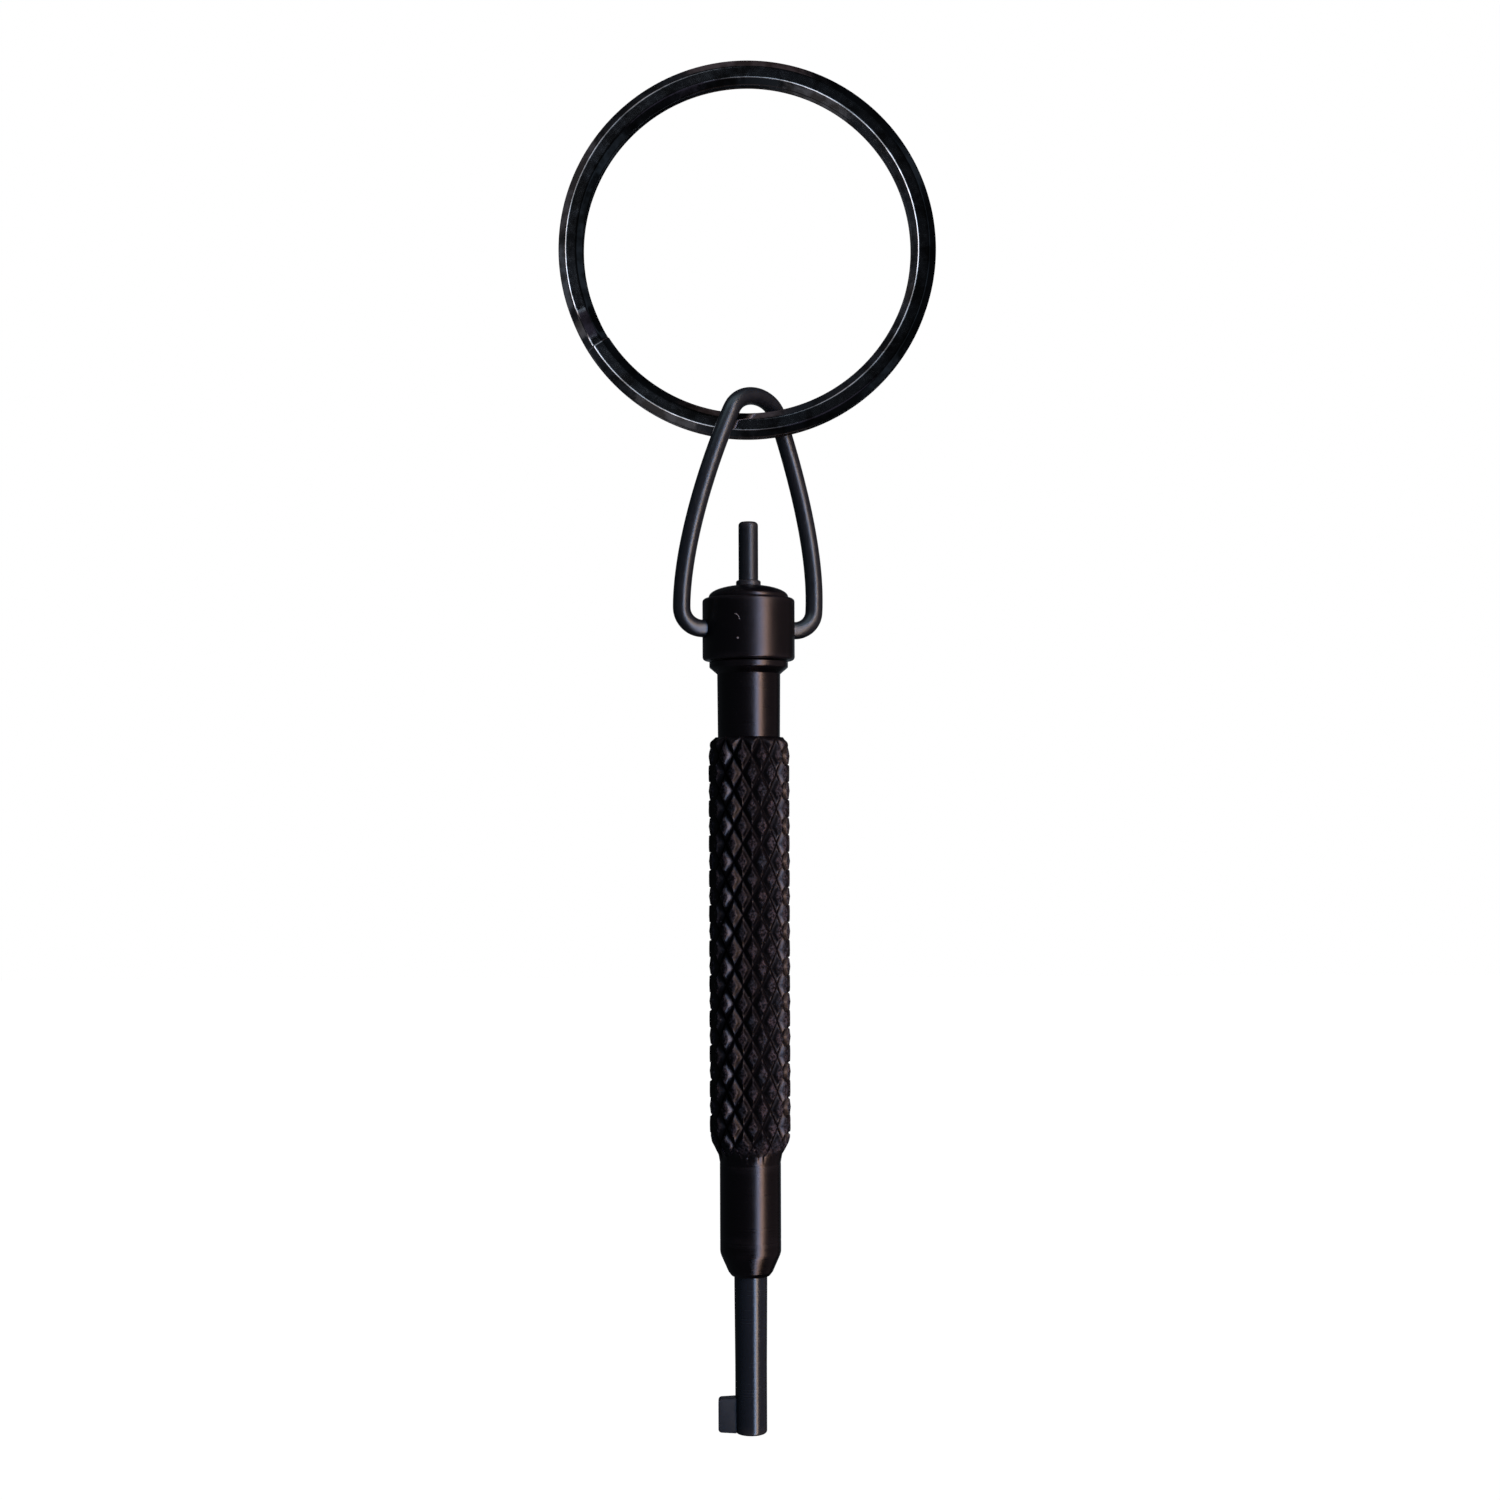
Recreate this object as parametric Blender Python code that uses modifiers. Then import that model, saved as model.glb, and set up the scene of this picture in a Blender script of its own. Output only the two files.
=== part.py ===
"""A swivel handcuff key hanging from its split ring.

The frame is +Z up. The origin is the top of the split ring's hole, where the
ring hangs, and the key hangs straight down from it, along -Z. The ring lies in
the XZ plane. The key's bit points to -X.
"""

import math

import bmesh
import bpy
from mathutils import Matrix, Vector
from mathutils.geometry import interpolate_bezier

MM = 0.001

# Split ring: two flat turns, one in front of the other.
RING_OUTER_D = 38.8 * MM
RING_INNER_D = 33.7 * MM
RING_DEPTH = 2.1 * MM
TURN_GAP = 0.1 * MM
TURN_CORNER_RADIUS = 0.4 * MM
POINTS_PER_TURN = 72
SEAM_ANGLE = math.radians(212)
JOG_ANGLE = math.radians(15)
JOG_MARGIN = math.radians(1)

# Bail: one bent wire. Its widths are those seen along +Y.
WIRE_D = 1.8 * MM
PIVOT_ANGLE = math.radians(18)
CROWN_ANGLE = math.radians(47)
SHOULDER_HALF_WIDTH = 6.82 * MM
BEND_RADIUS = 2.1 * MM
CROWN_RADIUS = 2.5 * MM
CROWN_ABOVE_RING = 1.85 * MM
CROWN_SHIFT = 0.65 * MM
FLARE_ANGLE = math.radians(21)
STUB_DEPTH = 1.4 * MM
SHOULDER_RISE = 2.6 * MM
LEG_PULL_LOW = 7.2 * MM
LEG_PULL_HIGH = 3.5 * MM

# Swivel head, measured from the bail's pivots down the key's axis.
PIVOT_DEPTH = 22.2 * MM
COLLAR_D = 9.5 * MM
COLLAR_HEIGHT = 6.4 * MM
CAP_D = 8.2 * MM
CAP_RISE = 1.25 * MM
JOURNAL_D = 5.2 * MM
RUNNING_GAP = 0.1 * MM
SEAT_GAP = 0.05 * MM

# Double-lock pin.
PIN_D = 1.96 * MM
PIN_REACH = 6.5 * MM
BEAD_D = 2.55 * MM
BEAD_HEIGHT = 0.8 * MM

# Key body: flange, neck, grip and nose, turned from one bar.
FLANGE_D = 8.1 * MM
FLANGE_HEIGHT = 1.4 * MM
NECK_D = 6.4 * MM
NECK_LENGTH = 6.4 * MM
GRIP_D = 8.37 * MM
GRIP_LENGTH = 42.9 * MM
NOSE_D = 6.3 * MM
NOSE_LENGTH = 12.6 * MM
NOSE_END_D = 4.5 * MM

# Barrel and bit.
BARREL_D = 3.4 * MM
BARREL_TIP_D = 3.28 * MM
BARREL_LENGTH = 16.1 * MM
BARREL_BORE_D = 2.0 * MM
BARREL_BORE_DEPTH = 7.0 * MM
BARREL_STUB = 6.0 * MM
BIT_REACH = 1.74 * MM
BIT_HEIGHT = 3.6 * MM
BIT_THICKNESS = 1.3 * MM
BIT_FROM_TIP = 0.2 * MM
BIT_EDGE = 0.3 * MM

# Swivel stud: a journal for the collar, and a shank in the key body.
SHANK_D = 4.0 * MM
SHANK_LENGTH = 5.0 * MM

ROUND_STEPS = 48
SMALL_STEPS = 32
ARC_STEPS = 3

RING_CENTRE_Z = -RING_INNER_D / 2
RING_BOTTOM_Z = -RING_INNER_D
PIVOT_Z = RING_BOTTOM_Z - PIVOT_DEPTH
COLLAR_TOP_Z = PIVOT_Z + COLLAR_HEIGHT / 2
COLLAR_BOTTOM_Z = PIVOT_Z - COLLAR_HEIGHT / 2
FLANGE_TOP_Z = COLLAR_BOTTOM_Z - RUNNING_GAP
NECK_TOP_Z = FLANGE_TOP_Z - FLANGE_HEIGHT
GRIP_TOP_Z = NECK_TOP_Z - NECK_LENGTH
NOSE_TOP_Z = GRIP_TOP_Z - GRIP_LENGTH
NOSE_END_Z = NOSE_TOP_Z - NOSE_LENGTH
TIP_Z = NOSE_END_Z - BARREL_LENGTH


def clear_scene():
    for old in list(bpy.data.objects):
        bpy.data.objects.remove(old, do_unlink=True)


def new_collection(name):
    group = bpy.data.collections.new(name)
    bpy.context.scene.collection.children.link(group)
    return group


def new_material(name, colour, roughness, metallic):
    made = bpy.data.materials.new(name)
    made.use_nodes = True
    shader = made.node_tree.nodes["Principled BSDF"]
    shader.inputs["Base Color"].default_value = (*colour, 1.0)
    shader.inputs["Roughness"].default_value = roughness
    shader.inputs["Metallic"].default_value = metallic
    return made


def rounded(corners):
    """An outline of (across, height, radius) corners, each with a radius turned into an arc."""
    points = []
    last = len(corners) - 1
    for index, (across, height, radius) in enumerate(corners):
        here = Vector((across, height))
        if radius == 0 or index in (0, last):
            points.append(here)
            continue
        back = (Vector(corners[index - 1][:2]) - here).normalized()
        ahead = (Vector(corners[index + 1][:2]) - here).normalized()
        half = back.angle(ahead) / 2
        centre = here + (back + ahead).normalized() * radius / math.sin(half)
        reach = radius / math.tan(half)
        start = here + back * reach - centre
        end = here + ahead * reach - centre
        turn = start.angle_signed(end)
        for step in range(ARC_STEPS + 1):
            spin = Matrix.Rotation(-turn * step / ARC_STEPS, 2)
            points.append(centre + spin @ start)
    return points


def turned(name, corners, material, group, steps=ROUND_STEPS, closed=False):
    """A solid turned about Z from an outline that runs down its outer side.

    A closed outline is joined end to start, for a piece with a hole along its axis.
    """
    outline = rounded(corners)
    edges = [(i, i + 1) for i in range(len(outline) - 1)]
    if closed:
        edges.append((len(outline) - 1, 0))
    mesh = bpy.data.meshes.new(name)
    mesh.from_pydata([(x, 0, z) for x, z in outline], edges, [])
    mesh.materials.append(material)
    piece = bpy.data.objects.new(name, mesh)
    group.objects.link(piece)
    screw = piece.modifiers.new("Turn", "SCREW")
    screw.axis = "Z"
    screw.steps = steps
    screw.render_steps = steps
    screw.use_merge_vertices = True
    screw.merge_threshold = 0.001 * MM
    screw.use_smooth_shade = True
    return piece


def new_curve(name, material, group):
    curve = bpy.data.curves.new(name, "CURVE")
    curve.dimensions = "3D"
    curve.use_fill_caps = True
    curve.materials.append(material)
    piece = bpy.data.objects.new(name, curve)
    group.objects.link(piece)
    return piece


def add_polyline(piece, points, cyclic=False):
    spline = piece.data.splines.new("POLY")
    spline.points.add(len(points) - 1)
    for control, point in zip(spline.points, points):
        control.co = (*point, 1.0)
    spline.use_cyclic_u = cyclic


def cut(piece, cutter):
    step = piece.modifiers.new("Cut", "BOOLEAN")
    step.operation = "DIFFERENCE"
    step.solver = "EXACT"
    step.object = cutter
    cutter.display_type = "WIRE"
    cutter.hide_render = True


def smoothstep(t):
    t = min(max(t, 0.0), 1.0)
    return t * t * (3 - 2 * t)


def turn_section(turn_depth, group):
    """The flat wire's section: a rectangle with round corners."""
    half_width = (RING_OUTER_D - RING_INNER_D) / 4
    half_depth = turn_depth / 2
    radius = TURN_CORNER_RADIUS
    section = bpy.data.curves.new("turn_section", "CURVE")
    section.dimensions = "2D"
    guide = bpy.data.objects.new("turn_section", section)
    guide.hide_render = True
    guide.display_type = "WIRE"
    group.objects.link(guide)
    points = []
    for quadrant, (side, level) in enumerate(((1, 1), (-1, 1), (-1, -1), (1, -1))):
        for step in range(3):
            angle = math.radians(90 * quadrant + 45 * step)
            across = side * (half_width - radius) + radius * math.cos(angle)
            depth = level * (half_depth - radius) + radius * math.sin(angle)
            points.append((across, depth, 0))
    add_polyline(guide, points[::-1], cyclic=True)
    return guide


def make_split_ring(material, group, guides):
    """Two turns of flat wire. The wire drops from the front turn to the back one at the jog.

    The front turn starts at the seam, and the jog lies just before it, so that
    the front end butts against the step. The back turn ends where the jog begins.
    """
    turn_depth = (RING_DEPTH - TURN_GAP) / 2
    front = (turn_depth + TURN_GAP) / 2
    radius = (RING_OUTER_D + RING_INNER_D) / 4
    full = 2 * math.pi
    length = 2 * full - JOG_ANGLE
    count = 2 * POINTS_PER_TURN
    ring = new_curve("split_ring", material, group)
    points = []
    for step in range(count + 1):
        run = length * step / count
        into_jog = run - (full - JOG_ANGLE + JOG_MARGIN)
        level = front * (1 - 2 * smoothstep(into_jog / (JOG_ANGLE - 2 * JOG_MARGIN)))
        angle = SEAM_ANGLE + run
        points.append((radius * math.cos(angle), radius * math.sin(angle), level))
    add_polyline(ring, points)
    ring.data.twist_mode = "Z_UP"
    ring.data.bevel_mode = "OBJECT"
    ring.data.bevel_object = turn_section(turn_depth, guides)
    ring.location = (0, 0, RING_CENTRE_Z)
    ring.rotation_euler = (math.pi / 2, 0, 0)
    return ring


def leg_points():
    """The centre line of the bail's +X leg as (across, height), from its stub to the crown."""
    crown_z = RING_BOTTOM_Z + CROWN_ABOVE_RING
    stub_end = (COLLAR_D / 2 - STUB_DEPTH) * math.cos(PIVOT_ANGLE)
    bend_start = SHOULDER_HALF_WIDTH - BEND_RADIUS
    path = [(stub_end, PIVOT_Z)]
    for step in range(7):
        angle = math.radians(15 * step)
        across = bend_start + BEND_RADIUS * math.sin(angle)
        path.append((across, PIVOT_Z + BEND_RADIUS * (1 - math.cos(angle))))

    shoulder = Vector((SHOULDER_HALF_WIDTH, PIVOT_Z + SHOULDER_RISE))
    flare_x = CROWN_RADIUS * math.cos(FLARE_ANGLE)
    flare_z = crown_z - CROWN_RADIUS * (1 - math.sin(FLARE_ANGLE))
    flare = Vector((flare_x, flare_z))
    rise = Vector((0, LEG_PULL_LOW))
    slope = Vector((math.sin(FLARE_ANGLE), -math.cos(FLARE_ANGLE))) * LEG_PULL_HIGH
    leg = interpolate_bezier(shoulder, shoulder + rise, flare + slope, flare, 14)
    path += [(point.x, point.y) for point in leg]

    sweep = math.pi / 2 - FLARE_ANGLE
    for step in range(1, 6):
        angle = FLARE_ANGLE + sweep * step / 5
        across = CROWN_RADIUS * math.cos(angle)
        path.append((across, crown_z - CROWN_RADIUS * (1 - math.sin(angle))))
    return path


def make_bail(material, group):
    """The two legs are the same curve turned half a turn about Z.

    The wire is twisted: its pivots stand at PIVOT_ANGLE to the ring's plane, and its
    crown at CROWN_ANGLE, so that one leg passes in front of the ring and one behind it.
    The whole bail leans to +X, by CROWN_SHIFT at its crown.
    """
    leg = []
    for across, height in leg_points():
        rise = (height - PIVOT_Z) / (RING_BOTTOM_Z - PIVOT_Z)
        angle = PIVOT_ANGLE + (CROWN_ANGLE - PIVOT_ANGLE) * min(max(rise, 0.0), 1.0)
        leg.append(Vector((across, across * math.tan(angle), height)))
    other = [Vector((-point.x, -point.y, point.z)) for point in reversed(leg[:-1])]
    centre_line = leg + other
    for point in centre_line:
        lean = max(point.z - PIVOT_Z - BEND_RADIUS, 0.0) / (RING_BOTTOM_Z - PIVOT_Z)
        point.x += CROWN_SHIFT * lean
    bail = new_curve("bail", material, group)
    add_polyline(bail, centre_line)
    bail.data.bevel_depth = WIRE_D / 2
    bail.data.bevel_resolution = 3
    return bail


def make_swivel_collar(material, group, guides):
    """A plain sleeve on the journal, cross-drilled for the bail's ends."""
    outer = COLLAR_D / 2
    bore = JOURNAL_D / 2 + RUNNING_GAP
    edge = 0.4 * MM
    corners = [
        (bore, COLLAR_TOP_Z, 0),
        (outer, COLLAR_TOP_Z, edge),
        (outer, COLLAR_BOTTOM_Z, edge),
        (bore, COLLAR_BOTTOM_Z, 0),
    ]
    collar = turned("swivel_collar", corners, material, group, closed=True)
    drill = bpy.data.meshes.new("pivot_drill")
    shape = bmesh.new()
    bmesh.ops.create_cone(
        shape,
        cap_ends=True,
        segments=24,
        radius1=WIRE_D / 2 + RUNNING_GAP,
        radius2=WIRE_D / 2 + RUNNING_GAP,
        depth=1.5 * COLLAR_D,
    )
    shape.to_mesh(drill)
    shape.free()
    cutter = bpy.data.objects.new("pivot_drill", drill)
    cutter.location = (0, 0, PIVOT_Z)
    cutter.rotation_euler = (0, math.pi / 2, PIVOT_ANGLE)
    guides.objects.link(cutter)
    cut(collar, cutter)
    return collar


def make_domed_cap(material, group):
    """The dome that keeps the collar on, bored for the pin."""
    outer = CAP_D / 2
    bottom = COLLAR_TOP_Z + SEAT_GAP
    hole = PIN_D / 2 + SEAT_GAP
    corners = [(hole, bottom + CAP_RISE, 0)]
    for step in range(1, 8):
        angle = math.radians(15 + 75 * step / 7)
        across = outer * math.sin(angle)
        corners.append((across, bottom + 0.1 * MM + CAP_RISE * math.cos(angle), 0))
    corners += [(outer, bottom, 0), (hole, bottom, 0)]
    return turned("domed_cap", corners, material, group, closed=True)


def make_swivel_stud(material, group):
    """The journal under the cap that the collar turns on, with its shank in the key body."""
    journal = JOURNAL_D / 2
    shank = SHANK_D / 2
    top = COLLAR_TOP_Z
    shoulder = FLANGE_TOP_Z + SEAT_GAP
    end = shoulder - SHANK_LENGTH
    corners = [
        (0, top, 0),
        (journal, top, 0.2 * MM),
        (journal, shoulder, 0),
        (shank, shoulder, 0),
        (shank, end, 0.3 * MM),
        (0, end, 0),
    ]
    return turned("swivel_stud", corners, material, group, steps=SMALL_STEPS)


def make_double_lock_pin(material, group):
    """A round pin with a softened tip, standing on the stud through the cap."""
    radius = PIN_D / 2
    foot = COLLAR_TOP_Z + SEAT_GAP
    tip = COLLAR_TOP_Z + CAP_RISE + PIN_REACH
    corners = [(0, tip, 0), (radius, tip, 0.25 * MM), (radius, foot, 0), (0, foot, 0)]
    return turned("double_lock_pin", corners, material, group, steps=SMALL_STEPS)


def make_pin_bead(material, group):
    """The small shoulder ring around the pin's foot."""
    top = COLLAR_TOP_Z + CAP_RISE + BEAD_HEIGHT
    inner = PIN_D / 2 + SEAT_GAP
    outer = BEAD_D / 2
    bottom = COLLAR_TOP_Z + CAP_RISE + 2 * SEAT_GAP
    corners = [(inner, top, 0), (outer, top, 0.2 * MM), (outer, bottom, 0), (inner, bottom, 0)]
    return turned("pin_bead", corners, material, group, steps=SMALL_STEPS, closed=True)


def make_key_body(material, group):
    """Flange, neck, grip and nose in one turned piece, with a socket at each end."""
    socket = SHANK_D / 2 + SEAT_GAP
    socket_floor = FLANGE_TOP_Z - SHANK_LENGTH - SEAT_GAP
    barrel_seat = BARREL_D / 2 + SEAT_GAP
    seat_floor = NOSE_END_Z + BARREL_STUB + SEAT_GAP
    neck = NECK_D / 2
    grip = GRIP_D / 2
    nose = NOSE_D / 2
    corners = [
        (0, socket_floor, 0),
        (socket, socket_floor, 0),
        (socket, FLANGE_TOP_Z, 0),
        (FLANGE_D / 2, FLANGE_TOP_Z, 0.1 * MM),
        (FLANGE_D / 2, NECK_TOP_Z + 0.7 * MM, 0.3 * MM),
        (neck + 0.05 * MM, NECK_TOP_Z, 0.1 * MM),
        (neck, GRIP_TOP_Z, 0),
        (neck + 0.25 * MM, GRIP_TOP_Z, 0),
        (grip - 0.15 * MM, GRIP_TOP_Z - 0.5 * MM, 0.5 * MM),
        (grip, GRIP_TOP_Z - 2.0 * MM, 0),
        (grip, NOSE_TOP_Z + 2.0 * MM, 0.8 * MM),
        (grip - 0.3 * MM, NOSE_TOP_Z + 1.2 * MM, 0.6 * MM),
        (nose + 0.15 * MM, NOSE_TOP_Z + 0.1 * MM, 0.4 * MM),
        (nose, NOSE_TOP_Z - 1.0 * MM, 0),
        (nose, NOSE_END_Z + 3.0 * MM, 2.0 * MM),
        (NOSE_END_D / 2, NOSE_END_Z, 0.2 * MM),
        (barrel_seat, NOSE_END_Z, 0),
        (barrel_seat, seat_floor, 0),
        (0, seat_floor, 0),
    ]
    return turned("key_body", corners, material, group)


def make_key_barrel(material, group):
    """The hollow barrel that fits over the lock's post. Its shank is pressed into the nose."""
    bore = BARREL_BORE_D / 2
    corners = [
        (0, NOSE_END_Z + BARREL_STUB, 0),
        (BARREL_D / 2, NOSE_END_Z + BARREL_STUB, 0.2 * MM),
        (BARREL_D / 2, NOSE_END_Z - 1.0 * MM, 0),
        (BARREL_TIP_D / 2, TIP_Z + BARREL_BORE_DEPTH, 0),
        (BARREL_TIP_D / 2, TIP_Z, 0.25 * MM),
        (bore, TIP_Z, 0),
        (bore, TIP_Z + BARREL_BORE_DEPTH, 0),
        (0, TIP_Z + BARREL_BORE_DEPTH + 0.5 * MM, 0),
    ]
    return turned("key_barrel", corners, material, group, steps=SMALL_STEPS)


def make_key_bit(material, group):
    """The flat bit on the barrel's -X side, fitted round the barrel."""
    inner = 0.5 * BARREL_TIP_D / 2
    outer = BARREL_TIP_D / 2 + BIT_REACH
    size = (outer - inner, BIT_THICKNESS, BIT_HEIGHT)
    mesh = bpy.data.meshes.new("key_bit")
    shape = bmesh.new()
    bmesh.ops.create_cube(shape, size=1.0, matrix=Matrix.Diagonal((*size, 1.0)))
    free_edges = [
        edge for edge in shape.edges
        if all(corner.co.x < 0 for corner in edge.verts)
    ]
    bmesh.ops.bevel(
        shape, geom=free_edges, offset=BIT_EDGE, segments=3, profile=0.5, affect="EDGES",
    )
    shape.to_mesh(mesh)
    shape.free()
    mesh.materials.append(material)
    bit = bpy.data.objects.new("key_bit", mesh)
    bit.location = (-(inner + outer) / 2, 0, TIP_Z + BIT_FROM_TIP + BIT_HEIGHT / 2)
    group.objects.link(bit)
    return bit


def make_barrel_clearance(guides):
    """The round cut in the bit's root that seats it against the barrel."""
    mesh = bpy.data.meshes.new("barrel_clearance")
    shape = bmesh.new()
    radius = BARREL_TIP_D / 2 + SEAT_GAP
    bmesh.ops.create_cone(
        shape,
        cap_ends=True,
        segments=64,
        radius1=radius,
        radius2=radius,
        depth=2 * BIT_HEIGHT,
    )
    shape.to_mesh(mesh)
    shape.free()
    cutter = bpy.data.objects.new("barrel_clearance", mesh)
    cutter.location = (0, 0, TIP_Z + BIT_FROM_TIP + BIT_HEIGHT / 2)
    guides.objects.link(cutter)
    return cutter


def build():
    clear_scene()
    group = new_collection("swivel_handcuff_key")
    guides = new_collection("cutters_and_guides")
    glossy_steel = new_material("black_ring_steel", (0.016, 0.015, 0.018), 0.22, 0.6)
    wire_steel = new_material("black_wire_steel", (0.05, 0.055, 0.065), 0.32, 0.85)
    anodised = new_material("black_anodised", (0.035, 0.028, 0.033), 0.38, 0.7)
    key_steel = new_material("blackened_steel", (0.05, 0.05, 0.055), 0.34, 0.85)

    make_split_ring(glossy_steel, group, guides)
    make_bail(wire_steel, group)
    make_swivel_collar(anodised, group, guides)
    make_domed_cap(anodised, group)
    make_swivel_stud(key_steel, group)
    make_double_lock_pin(key_steel, group)
    make_pin_bead(key_steel, group)
    make_key_body(anodised, group)
    make_key_barrel(key_steel, group)
    cut(make_key_bit(key_steel, group), make_barrel_clearance(guides))


build()
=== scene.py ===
"""The looks of a swivel handcuff key: camera, light, materials and its detailed pieces.

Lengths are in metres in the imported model's frame: +Z up, the ring's hole at the origin, the key
hanging along -Z, and its front towards -Y.
"""

import math

import bmesh
import bpy
import numpy as np
from mathutils import Matrix, Vector, noise
from mathutils.geometry import interpolate_bezier


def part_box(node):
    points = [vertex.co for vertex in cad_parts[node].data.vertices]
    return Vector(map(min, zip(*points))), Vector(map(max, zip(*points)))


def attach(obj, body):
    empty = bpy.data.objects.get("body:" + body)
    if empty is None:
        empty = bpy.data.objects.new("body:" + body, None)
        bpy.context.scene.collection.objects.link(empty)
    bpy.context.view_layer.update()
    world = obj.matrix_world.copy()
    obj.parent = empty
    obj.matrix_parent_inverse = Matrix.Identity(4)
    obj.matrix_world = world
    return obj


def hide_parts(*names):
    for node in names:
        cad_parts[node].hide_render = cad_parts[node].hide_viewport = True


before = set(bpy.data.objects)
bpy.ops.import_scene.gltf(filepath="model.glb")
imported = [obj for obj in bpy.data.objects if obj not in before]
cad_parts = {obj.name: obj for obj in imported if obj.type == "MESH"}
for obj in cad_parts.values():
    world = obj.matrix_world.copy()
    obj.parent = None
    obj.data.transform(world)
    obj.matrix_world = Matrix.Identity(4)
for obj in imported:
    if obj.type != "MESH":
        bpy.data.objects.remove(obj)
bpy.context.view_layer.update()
MM = 0.001

# Camera, level with the upper grip
CAMERA_PLACE = (0.00008, -0.229, -0.0759)
CAMERA_ROLL = math.radians(0.2)
LENS = 53.36
SENSOR = 36.0
SHIFT_UP = 0.0493

# Split ring: its hole, the gap between its turns, where the front turn starts (the seam), and
# how far round the step between the turns (the jog) goes
RING_LOW, RING_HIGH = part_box("split_ring")
RING_OUTER = (RING_HIGH.x - RING_LOW.x) / 2
RING_CENTRE = Vector((0, 0, (RING_LOW.z + RING_HIGH.z) / 2))
RING_HOLE = 33.7 * MM / 2
TURN_GAP = 0.1 * MM
SEAM_ANGLE = math.radians(212)
JOG_ANGLE = math.radians(15)
JOG_MARGIN = math.radians(1)
RING_STATIONS = 900
# How thick the wire is at its ends: the distance from the end in mm, and the share of its size
RING_ENDS = ((0.0, 0.82), (0.03, 0.9), (0.08, 0.96), (0.16, 1.0))

# Bail: a wire with its ends turned in, twisted from the pivots' angle to the crown's
WIRE_R = 0.9 * MM
PIVOT_ANGLE = math.radians(18)
CROWN_ANGLE = math.radians(47)
SHOULDER_HALF_WIDTH = 6.82 * MM
BEND_RADIUS = 2.1 * MM
CROWN_RADIUS = 2.5 * MM
CROWN_ABOVE_RING = 1.85 * MM
CROWN_SHIFT = 0.8 * MM
FLARE_ANGLE = math.radians(21)
STUB_DEPTH = 1.4 * MM
SHOULDER_RISE = 2.6 * MM
LEG_PULL_LOW = 7.2 * MM
LEG_PULL_HIGH = 3.5 * MM

# Key
COLLAR_LOW, COLLAR_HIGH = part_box("swivel_collar")
COLLAR_R = COLLAR_HIGH.x
PIVOT_Z = (COLLAR_LOW.z + COLLAR_HIGH.z) / 2
BODY_LOW, BODY_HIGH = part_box("key_body")
BARREL_LOW, BARREL_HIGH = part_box("key_barrel")
BIT_LOW, BIT_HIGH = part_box("key_bit")
STUD_LOW, STUD_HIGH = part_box("swivel_stud")
CAP_LOW, CAP_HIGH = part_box("domed_cap")
PIN_LOW, PIN_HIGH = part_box("double_lock_pin")
BEAD_LOW, BEAD_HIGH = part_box("pin_bead")
# The bit's height at its free end and at the barrel, as shares of the CAD one's
BIT_TAPER, BIT_ROOT = 0.95, 1.03
BIT_DROP = 0.1 * MM
PIN_R = PIN_HIGH.x + 0.03 * MM
PIN_TOP_Z = PIN_HIGH.z + 0.15 * MM
BEAD_TOP_Z = BEAD_HIGH.z - 0.18 * MM
STUD_SHANK_R = 2.0 * MM
BARREL_SHANK_R = 1.7 * MM
TIP_R = 1.64 * MM
TIP_LENGTH = 7.0 * MM
BORE_R = 1.0 * MM
BORE_DEPTH = 7.5 * MM
SEAT_GAP = 0.05 * MM
RUNNING_GAP = 0.1 * MM
NECK_R = 3.2 * MM
FLANGE_R = 4.05 * MM
GRIP_R = 8.37 * MM / 2
NOSE_R = 3.15 * MM
NECK_TOP_Z = BODY_HIGH.z - 1.4 * MM
GRIP_TOP_Z = NECK_TOP_Z - 6.4 * MM
NOSE_TOP_Z = GRIP_TOP_Z - 42.9 * MM
NOSE_END_Z = BODY_LOW.z + 0.15 * MM
LINE_DEPTH = 0.02 * MM
OUTLINE_STEP = 0.8 * MM

# Knurl: diamonds between two hands of round-bottomed grooves. They stand in columns, each half a
# diamond's width from the next, and the phase and datum say where one diamond's middle is. The
# fine count is of rows of points in half a diamond's height.
KNURL_COLUMNS = 24
KNURL_HALF_PITCH = 1.8025 * MM
KNURL_FINE = 16
KNURL_DEPTH = 0.54 * MM
KNURL_PHASE = math.radians(4.25)
KNURL_DATUM_Z = -70.71 * MM
POINTS_ROUND = KNURL_COLUMNS * KNURL_FINE // 2
COLUMN_WIDTH = 2 * math.pi * GRIP_R / KNURL_COLUMNS
# The power that draws the points towards the grooves
GRADING = 1.6
# The grooves: their walls' slope, the radius of their bottoms, and how far up them they are
# dulled
WALL_SLOPE = 1.6
GROOVE_ROUND = 0.26 * MM
GROOVE_DULL_REACH = 0.24 * MM
# The diamonds' tops: their slope round the grip, how far they are worn down and over what sizes
# of patch, the rounding of their edges, how far down from the edge their finish goes, and the
# slope that the finish adds
CREST_TILT = 0.12
CREST_WEAR = 0.015 * MM
WEAR_COARSE, WEAR_FINE = 9, 23
CREST_ROUND = 0.04 * MM
CREST_EDGE = 0.09 * MM
CREST_REACH = 1.3
TOP_LEAN = 0.23
# How far from the grip's ends the grading of the points and the tops' finish start
FADE = 1.2 * MM

# Anodising, between two colours, and the marks on the collar's front, each an arc: centre across
# and height, radius, from and to degrees, and width
BLACK_PURPLE = ((0.0010, 0.0008, 0.0014), (0.0021, 0.0015, 0.0023))
MARK_COLOUR = (0.3, 0.3, 0.29)
COLLAR_MARKS = (
    (-1.52 * MM, -55.25 * MM, 0.62 * MM, 2, 78, 0.05 * MM),
    (-1.08 * MM, -57.1 * MM, 0.02 * MM, -180, 180, 0.11 * MM),
)

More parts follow.
